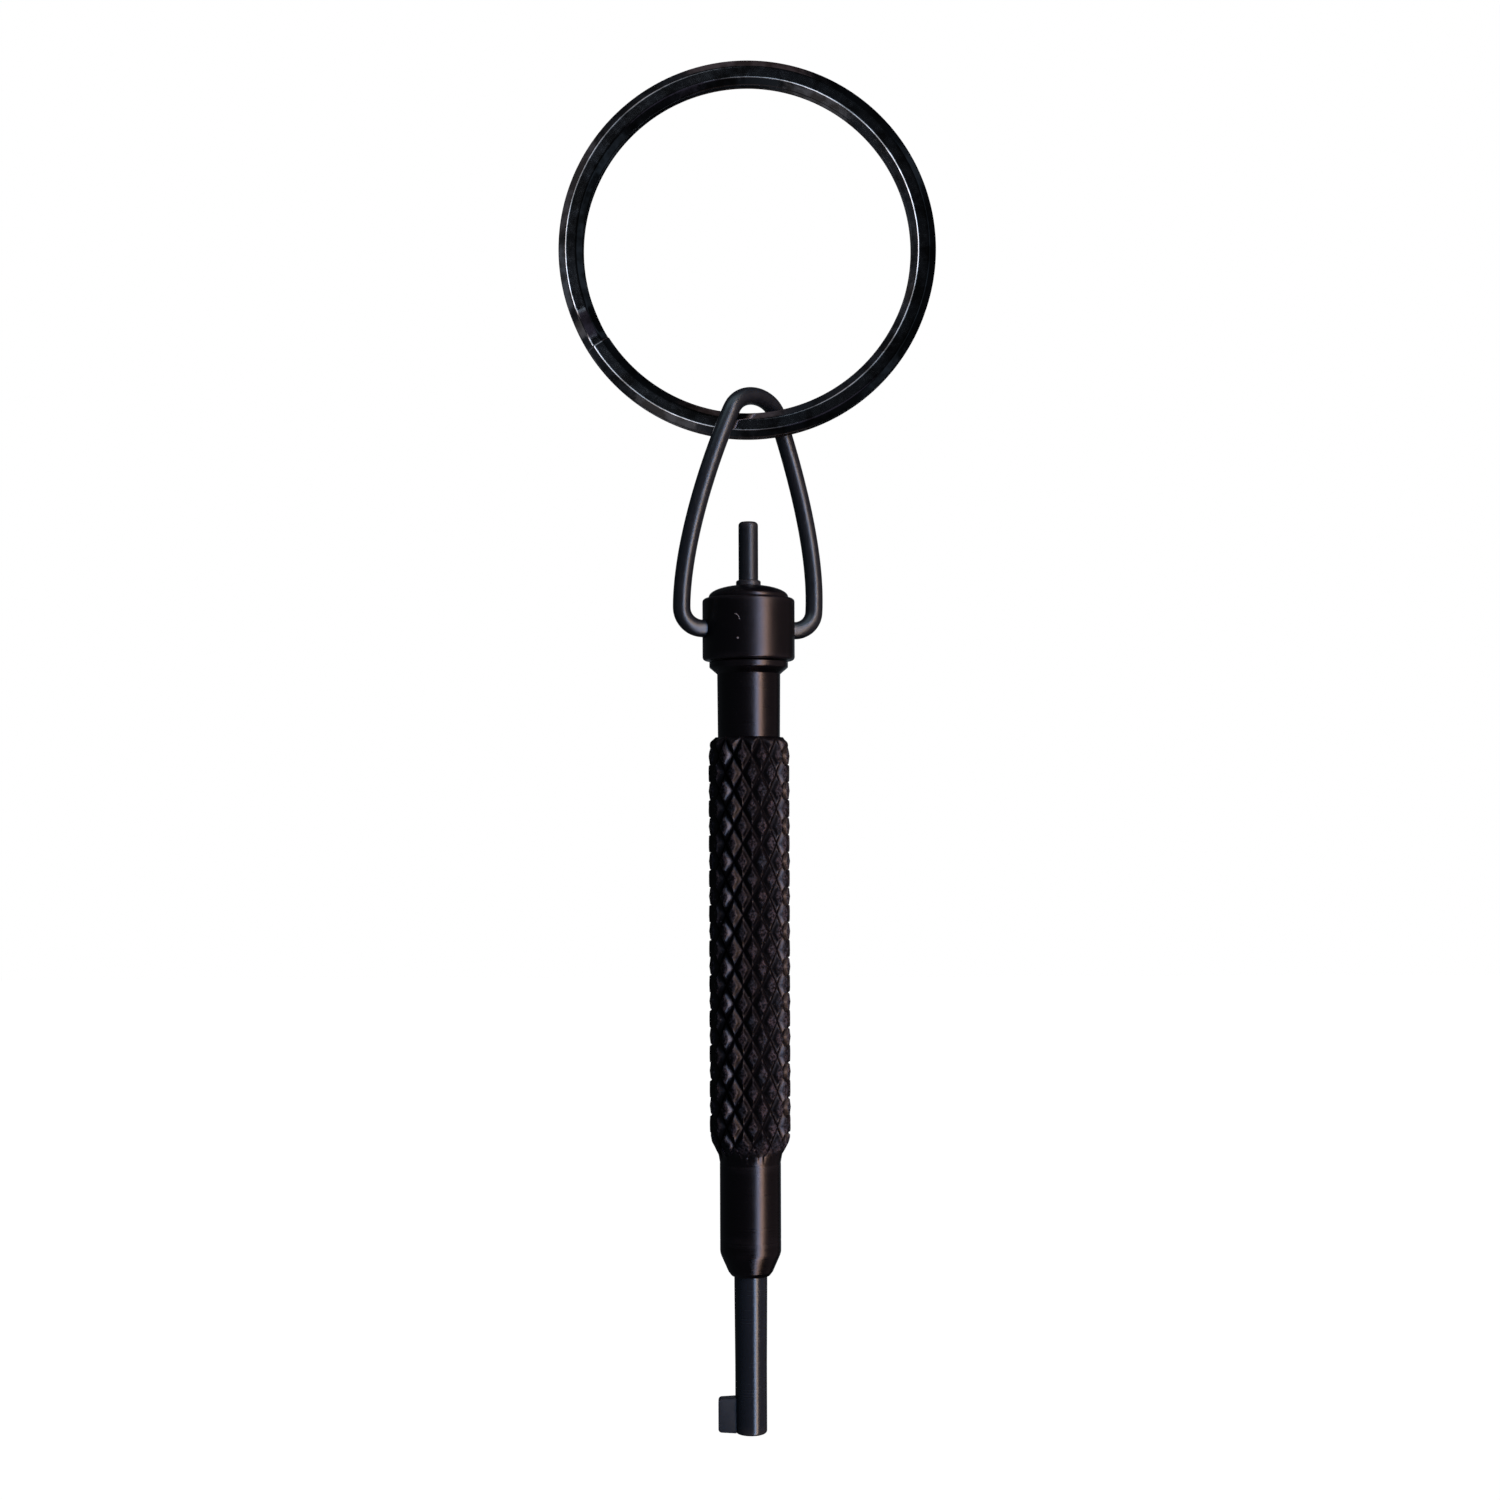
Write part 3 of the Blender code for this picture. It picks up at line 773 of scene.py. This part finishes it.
def knurl_point(angle, height, limit, share):
    """The grip's radius at a point, and the numbers that its finish reads there.

    Limit is the radius before knurling, and share fades the tops' finish at the grip's ends.
    """
    wall, away = groove_wall(angle, height)
    spot = Vector((math.cos(angle), math.sin(angle), height / GRIP_R))
    # How far round the point is from the middle of its diamond, in columns
    slide = sum(offset - math.copysign(0.5, offset) for offset in groove_offsets(angle, height))
    tilt = CREST_TILT * COLUMN_WIDTH * slide
    patches = noise.noise(spot * WEAR_COARSE) + 0.5 * noise.noise(spot * WEAR_FINE)
    crest = limit + tilt - CREST_WEAR * (1 + patches)
    rise = GRIP_R - KNURL_DEPTH + wall
    # The lower of the two, with their meeting rounded
    blend = min(max(0.5 + 0.5 * (crest - rise) / CREST_ROUND, 0.0), 1.0)
    radius = crest + (rise - crest) * blend - CREST_ROUND * blend * (1 - blend) / 2
    return radius, {
        "top": share * smoothstep(CREST_REACH - (crest - rise) / CREST_EDGE),
        "groove": max(0.0, 1 - away / GROOVE_DULL_REACH),
        "lean": COLUMN_WIDTH * slide / MM,
    }


def lattice_faces(grid):
    """Faces between rows of points, each row half a step round from the one above it."""
    faces = []
    count = len(grid[0])
    for row, (here, there) in enumerate(zip(grid, grid[1:])):
        odd = row % 2
        if row == 0:
            faces += [(here[k], there[k], here[(k + 1) % count]) for k in range(count)]
        for k in range(count):
            left, right = there[k - 1 + odd], there[(k + odd) % count]
            if row + 2 < len(grid):
                faces.append((here[k], left, grid[row + 2][k], right))
            else:
                faces.append((here[k], left, right))
    return faces


def body_outlines():
    """The outlines above the knurl, of the grip before knurling, and below it."""
    socket = STUD_SHANK_R + SEAT_GAP
    socket_floor = STUD_LOW.z - SEAT_GAP
    seat = BARREL_SHANK_R + SEAT_GAP
    seat_floor = BARREL_HIGH.z + SEAT_GAP
    upper = fillet([
        (0, socket_floor, 0),
        (socket, socket_floor, 0),
        (socket, BODY_HIGH.z, 0),
        (FLANGE_R, BODY_HIGH.z, 0.1 * MM),
        (FLANGE_R, NECK_TOP_Z + 0.8 * MM, 0.2 * MM),
        (NECK_R + 0.05 * MM, NECK_TOP_Z + 0.12 * MM, 0.1 * MM),
        (NECK_R, GRIP_TOP_Z, 0.05 * MM),
        (NECK_R + 0.25 * MM, GRIP_TOP_Z, 0),
    ])
    grip = fillet([
        (NECK_R + 0.25 * MM, GRIP_TOP_Z, 0),
        (GRIP_R - 0.15 * MM, GRIP_TOP_Z - 0.5 * MM, 0.5 * MM),
        (GRIP_R, GRIP_TOP_Z - 2.0 * MM, 0),
        (GRIP_R, NOSE_TOP_Z + 2.0 * MM, 0.8 * MM),
        (GRIP_R - 0.3 * MM, NOSE_TOP_Z + 1.2 * MM, 0.6 * MM),
        (NOSE_R + 0.15 * MM, NOSE_TOP_Z + 0.1 * MM, 0),
    ])
    lower = fillet([
        (NOSE_R + 0.15 * MM, NOSE_TOP_Z + 0.1 * MM, 0),
        (NOSE_R, NOSE_TOP_Z - 0.75 * MM, 0.2 * MM),
        (NOSE_R - LINE_DEPTH, NOSE_TOP_Z - 0.85 * MM, 0),
        (NOSE_R, NOSE_TOP_Z - 0.95 * MM, 0),
        (NOSE_R, NOSE_END_Z + 3.75 * MM, 0),
        (NOSE_R - LINE_DEPTH, NOSE_END_Z + 3.65 * MM, 0),
        (NOSE_R, NOSE_END_Z + 3.55 * MM, 0),
        (NOSE_R, NOSE_END_Z + 2.35 * MM, 1.6 * MM),
        (2.3 * MM, NOSE_END_Z + 0.42 * MM, 0.35 * MM),
        (1.98 * MM, NOSE_END_Z, 0.12 * MM),
        (seat, NOSE_END_Z, 0),
        (seat, seat_floor, 0),
        (0, seat_floor, 0),
    ])
    return divided(upper, OUTLINE_STEP), grip, divided(lower, OUTLINE_STEP)


def make_body(plain, knurled):
    """Flange, neck, knurled grip and nose in one turned piece.

    The grip's points lie denser at the grooves, where the shape turns.
    """
    points, faces = [], []
    finish = {"top": [], "groove": [], "lean": [], "wear": []}

    def add_point(radius, angle, height, read):
        points.append((radius * math.cos(angle), radius * math.sin(angle), height))
        for name, values in finish.items():
            values.append(read.get(name, 0.0))
        return len(points) - 1

    def add_ring(place, wear):
        count = 1 if place.x < 1e-7 else POINTS_ROUND
        return [add_point(place.x, KNURL_PHASE + 2 * math.pi * k / count, place.y, {"wear": wear})
                for k in range(count)]

    upper, grip, lower = body_outlines()
    rings = [add_ring(place, wear) for place, wear in zip(upper[:-1], edge_wear(upper))]
    for above, below in zip(rings, rings[1:]):
        faces += band(above, below)
    plain_before = len(faces)

    top, foot = grip[0].y, grip[-1].y
    radii = [place.x for place in reversed(grip)]
    heights = [place.y for place in reversed(grip)]
    rows = 2 * round((top - foot) / (KNURL_HALF_PITCH / KNURL_FINE) / 2)
    grid = []
    for row in range(rows + 1):
        level = top - (top - foot) * row / rows
        share = smoothstep(min(top - level, level - foot) / FADE)
        ring = []
        for k in range(POINTS_ROUND):
            angle = KNURL_PHASE + 2 * math.pi * (k + 0.5 * (row % 2)) / POINTS_ROUND
            angle, height = graded(angle, level, share)
            limit = float(np.interp(height, heights, radii))
            radius, read = knurl_point(angle, height, limit, share)
            ring.append(add_point(radius, angle, height, read))
        grid.append(ring)
    faces += band(rings[-1], grid[0])
    faces += lattice_faces(grid)
    knurl_after = len(faces)

    rings = [grid[-1]]
    rings += [add_ring(place, wear) for place, wear in zip(lower[1:], edge_wear(lower)[1:])]
    for above, below in zip(rings, rings[1:]):
        faces += band(above, below)

    body = finish_mesh("turned_knurled_body", points, faces, plain)
    body.data.materials.append(knurled)
    slots = np.zeros(len(faces), dtype=np.int32)
    slots[plain_before:knurl_after] = 1
    body.data.polygons.foreach_set("material_index", slots)
    for name, values in finish.items():
        point_attribute(body, name, values)
    body.data.set_sharp_from_angle(angle=math.radians(62))
    return body


def make_barrel(material):
    """The hollow barrel that goes over the lock's post."""
    radius = BARREL_HIGH.x
    tip, top = BARREL_LOW.z, BARREL_HIGH.z
    corners = [
        (0, top, 0),
        (radius, top, 0.2 * MM),
        (radius, NOSE_END_Z - 1.0 * MM, 0),
        (TIP_R, tip + TIP_LENGTH, 0),
        (TIP_R, tip, 0.3 * MM),
        (BORE_R + 0.12 * MM, tip, 0.05 * MM),
        (BORE_R, tip + 0.15 * MM, 0),
        (BORE_R, tip + TIP_LENGTH, 0),
        (0, tip + BORE_DEPTH, 0),
    ]
    outline = divided(fillet(corners), OUTLINE_STEP)
    return turned("hollow_key_barrel", outline, material, steps=96)


def make_bit(material):
    """The flat bit with soft corners, seated on the barrel."""
    size = BIT_HIGH - BIT_LOW
    inner = -0.5 * TIP_R
    width = inner - BIT_LOW.x
    mesh = bpy.data.meshes.new("flat_key_bit")
    shape = bmesh.new()
    bmesh.ops.create_cube(shape, size=1.0, matrix=Matrix.Diagonal((width, size.y, size.z, 1.0)))
    corners = [e for e in shape.edges
               if abs(e.verts[0].co.y - e.verts[1].co.y) > 1e-6 and e.verts[0].co.x < 0]
    bmesh.ops.bevel(shape, geom=corners, offset=0.34 * MM, segments=8, profile=0.5,
                    affect="EDGES")
    rim = [e for e in shape.edges
           if all(abs(abs(v.co.y) - size.y / 2) < 1e-7 for v in e.verts)
           and e.verts[0].co.y * e.verts[1].co.y > 0
           and len(e.link_faces) == 2
           and abs(e.link_faces[0].normal.dot(e.link_faces[1].normal)) < 0.5
           and not all(v.co.x > width / 2 - 1e-7 for v in e.verts)]
    bmesh.ops.bevel(shape, geom=rim, offset=0.05 * MM, segments=3, profile=0.5, affect="EDGES")
    shape.to_mesh(mesh)
    shape.free()
    mesh.materials.append(material)
    bit = bpy.data.objects.new("flat_key_bit", mesh)
    bpy.context.scene.collection.objects.link(bit)
    middle = Vector(((inner + BIT_LOW.x) / 2, 0, (BIT_LOW.z + BIT_HIGH.z) / 2 - BIT_DROP))
    for vertex in mesh.vertices:
        inward = vertex.co.x / width + 0.5
        vertex.co.z *= BIT_TAPER + (BIT_ROOT - BIT_TAPER) * inward
    mesh.transform(Matrix.Translation(middle))
    stand = Matrix.Translation((0, 0, middle.z))
    cut_with(bit, cylinder(TIP_R + 0.02 * MM, 8 * MM, stand, 96))
    bit.data.shade_smooth()
    bit.data.set_sharp_from_angle(angle=math.radians(30))
    return bit


# ---------------------------------------------------------------- stage, light and camera

def direction(azimuth, elevation):
    """The direction seen from the key: azimuth 0 is the camera's side, and + is its right."""
    a, e = math.radians(azimuth), math.radians(elevation)
    return Vector((math.sin(a) * math.cos(e), -math.cos(a) * math.cos(e), math.sin(e)))


def strip_light(name, azimuth, elevation, width, height, radiance, colour, lit, lean=0):
    """A flat light that looks width by height degrees from the key, and lights only some pieces.

    It leans clockwise by lean degrees, as the key sees it.
    """
    away = direction(azimuth, elevation)
    data = bpy.data.lights.new(name, "AREA")
    data.shape = "RECTANGLE"
    data.size = 2 * LIGHT_DISTANCE * math.tan(math.radians(width / 2))
    data.size_y = 2 * LIGHT_DISTANCE * math.tan(math.radians(height / 2))
    data.energy = radiance * math.pi * data.size * data.size_y
    data.color = colour
    lamp = bpy.data.objects.new(name, data)
    turn = away.to_track_quat("Z", "Y").to_matrix().to_4x4()
    lamp.matrix_world = (
        Matrix.Translation(LIGHT_AIM + away * LIGHT_DISTANCE) @ turn
        @ Matrix.Rotation(math.radians(lean), 4, "Z")
    )
    bpy.context.scene.collection.objects.link(lamp)
    group = bpy.data.collections.new(name + "_lights")
    for piece in lit:
        group.objects.link(piece)
    lamp.light_linking.receiver_collection = group
    return lamp


def ring_light(turn, reach, width, height, radiance, colour, ring):
    """One light of an arc round the ring.

    Turn is the way that the corner or bevel it lights faces, in degrees from +X, and reach is
    how far off the flat face's own reflection it stands. That reflection goes up by RING_LIFT,
    because the camera looks up at the ring.
    """
    ahead, aside = math.cos(math.radians(reach)), math.sin(math.radians(reach))
    right, up = math.cos(math.radians(turn)) * aside, math.sin(math.radians(turn)) * aside
    lift = math.radians(RING_LIFT)
    forward = ahead * math.cos(lift) - up * math.sin(lift)
    rise = ahead * math.sin(lift) + up * math.cos(lift)
    azimuth = math.degrees(math.atan2(right, forward))
    elevation = math.degrees(math.asin(rise))
    strip_light(f"ring_light_{turn}_{reach}", azimuth, elevation, width, height, radiance, colour,
                ring, 180 - turn)


def make_lights(ring, bail, others):
    """Softboxes, fills and a back light for the key, one for the bail, and the ring's arcs."""
    for light in KEY_LIGHTS:
        strip_light(*light, others)
    strip_light(*BAIL_LIGHT, bail)
    # The back light would show as a bright rim at the outline, so it isn't in reflections
    strip_light(*BACK_LIGHT, others).visible_glossy = False
    for turn, radiance in CORNER_ARC:
        for reach, width, share, colour in CORNER_PAIR:
            ring_light(turn, reach, width, CORNER_HEIGHT, share * radiance, colour, ring)
    for light in RING_LIGHTS:
        ring_light(*light, ring)


def make_world():
    """White behind everything, and dim where it lights the key, brighter far behind it."""
    world = bpy.data.worlds.new("studio")
    world.use_nodes = True
    bpy.context.scene.world = world
    tree = world.node_tree
    tree.nodes.clear()
    place = node(tree, "ShaderNodeTexCoord")
    parts = node(tree, "ShaderNodeSeparateXYZ", {"Vector": place.outputs["Generated"]})
    back = node(tree, "ShaderNodeVectorMath", {
        0: place.outputs["Generated"], 1: GLOW_WAY}, operation="DOT_PRODUCT")
    behind = node(tree, "ShaderNodeMapRange", {
        "Value": back.outputs["Value"], "From Min": GLOW_START, "From Max": GLOW_FULL,
        "To Min": 0.0, "To Max": GLOW,
    }, interpolation_type="SMOOTHSTEP")
    side = node(tree, "ShaderNodeMapRange", {
        "Value": parts.outputs["X"], "From Min": SIDE_REACH, "From Max": -SIDE_REACH,
        "To Min": SIDE_DIM, "To Max": SIDE_BRIGHT,
    }, interpolation_type="SMOOTHSTEP")
    total = node(tree, "ShaderNodeMath", {
        0: behind.outputs["Result"], 1: side.outputs["Result"]}, operation="ADD")
    dim = node(tree, "ShaderNodeBackground", {
        "Color": WORLD_COLOUR, "Strength": total.outputs["Value"]})
    white = node(tree, "ShaderNodeBackground", {"Color": (1, 1, 1, 1), "Strength": 1.0})
    rays = node(tree, "ShaderNodeLightPath")
    both = node(tree, "ShaderNodeMixShader", {
        "Fac": rays.outputs["Is Camera Ray"], 1: dim.outputs["Background"],
        2: white.outputs["Background"]})
    node(tree, "ShaderNodeOutputWorld", {"Surface": both.outputs["Shader"]})


def make_floor():
    """A plain pale floor, out of the key's reflections."""
    mesh = bpy.data.meshes.new("pale_floor")
    corners = [(x * FLOOR_HALF, y * FLOOR_HALF, FLOOR_Z)
               for x, y in ((-1, -1), (1, -1), (1, 1), (-1, 1))]
    mesh.from_pydata(corners, [], [(0, 1, 2, 3)])
    made = bpy.data.materials.new("pale_floor")
    made.use_nodes = True
    shader = made.node_tree.nodes["Principled BSDF"]
    shader.inputs["Base Color"].default_value = (0.9, 0.9, 0.9, 1.0)
    shader.inputs["Roughness"].default_value = 0.9
    shader.inputs["Emission Color"].default_value = (1, 1, 1, 1)
    shader.inputs["Emission Strength"].default_value = 1.0
    mesh.materials.append(made)
    floor = bpy.data.objects.new("pale_floor", mesh)
    bpy.context.scene.collection.objects.link(floor)
    floor.visible_diffuse = False
    floor.visible_glossy = False


def make_camera():
    """The front view, with the whole key and its ring in the frame."""
    data = bpy.data.cameras.new("camera")
    data.sensor_width = SENSOR
    data.lens = LENS
    data.shift_y = SHIFT_UP
    data.clip_start = 0.01
    camera = bpy.data.objects.new("camera", data)
    camera.location = CAMERA_PLACE
    camera.rotation_euler = (math.pi / 2, CAMERA_ROLL, 0)
    bpy.context.scene.collection.objects.link(camera)
    bpy.context.scene.camera = camera


# ---------------------------------------------------------------- the scene

scene = bpy.context.scene
scene.view_settings.view_transform = "Standard"
scene.view_settings.look = "None"

anodised = anodised_finish("satin_black_anodised", 0.25, 0.34)
marked = anodised_finish("scratched_black_anodised", 0.30, 0.38, COLLAR_MARKS)
knurled = knurl_finish()
plated = ring_finish()
wire = wire_finish()
steel = steel_finish("blackened_barrel_steel", (0.011, 0.0155, 0.022), (0.016, 0.021, 0.028),
                     0.22, 0.29)
pin_steel = steel_finish("dull_blackened_steel", (0.008, 0.0105, 0.0135), (0.012, 0.0145, 0.017),
                         0.36, 0.48)
bit_steel = steel_finish("flat_blackened_steel", (0.012, 0.017, 0.023), (0.018, 0.024, 0.031),
                         0.45, 0.6)

PIECES = [
    (make_ring(plated), "ring", "split_ring", "ring_steel"),
    (make_bail(wire), "bail", "bail", "wire_steel"),
    (make_collar(marked), "collar", "swivel_collar", "anodised"),
    (make_cap(anodised), "key", "domed_cap", "anodised"),
    (make_pin(pin_steel), "key", "double_lock_pin", "key_steel"),
    (make_bead(pin_steel), "key", "pin_bead", "key_steel"),
    (make_body(anodised, knurled), "key", "key_body", "anodised"),
    (make_barrel(steel), "key", "key_barrel", "key_steel"),
    (make_bit(bit_steel), "key", "key_bit", "key_steel"),
]
for piece, body, stands_for, slot in PIECES:
    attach(piece, body)
    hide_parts(stands_for)
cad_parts["swivel_stud"].material_slots[0].material = steel

make_world()
made_pieces = [piece for piece, *_ in PIECES]
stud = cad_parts["swivel_stud"]
make_lights(ring=made_pieces[:1], bail=made_pieces[1:2], others=made_pieces[1:] + [stud])
make_floor()
make_camera()
